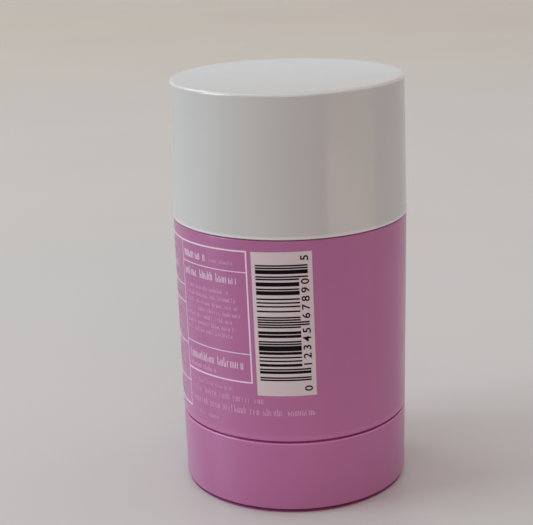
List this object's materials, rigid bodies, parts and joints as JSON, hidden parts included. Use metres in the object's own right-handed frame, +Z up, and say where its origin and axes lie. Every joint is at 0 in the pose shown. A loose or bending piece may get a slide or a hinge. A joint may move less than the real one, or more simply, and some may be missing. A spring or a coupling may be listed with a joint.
{
  "type": "deodorant stick",
  "caption": "Round twist-up deodorant stick: purple barrel and dial base, pull-off white cap, lift screw, platform and solid stick inside, printed frame and bar code.",
  "frame": {"origin": "centre of the face that the pack stands on", "axes": "+Z up along the pack's axis, -Y towards the front that the picture shows, +X to the picture's right"},
  "size_m": [0.051, 0.051, 0.0902],
  "materials": {
    "cap_white": "gloss",
    "purple_plastic": "satin",
    "inner_white": "satin",
    "solid_stick": "satin",
    "pale_print": "satin",
    "field_print": "satin",
    "black_print": "satin"
  },
  "bodies": {
    "barrel": {"inner_tube": "inner_white", "outer_barrel": "purple_plastic", "frame_print": "pale_print", "text_print": "pale_print", "barcode_field": "field_print", "barcode_bars": "black_print"},
    "dial": {"dial_base": "purple_plastic", "lift_screw": "inner_white"},
    "stick": {"platform": "inner_white", "product_stick": "solid_stick"},
    "cap": {"cap": "cap_white"}
  },
  "joints": [
    {"name": "dial_turn", "type": "hinge", "parent": "barrel", "child": "dial", "pos_m": [0, 0, 0], "axis": [0, 0, 1], "range_deg": [0, 3480]},
    {"name": "stick_rise", "type": "slide", "parent": "barrel", "child": "stick", "axis": [0, 0, 1], "range_m": [0, 0.058]},
    {"name": "cap_pull", "type": "slide", "parent": "stick", "child": "cap", "axis": [0, 0, 1], "range_m": [0, 0.06]}
  ],
  "couplings": [
    {"joint": "dial_turn", "follows": "stick_rise", "rad_per_m": 1047.2}
  ]
}
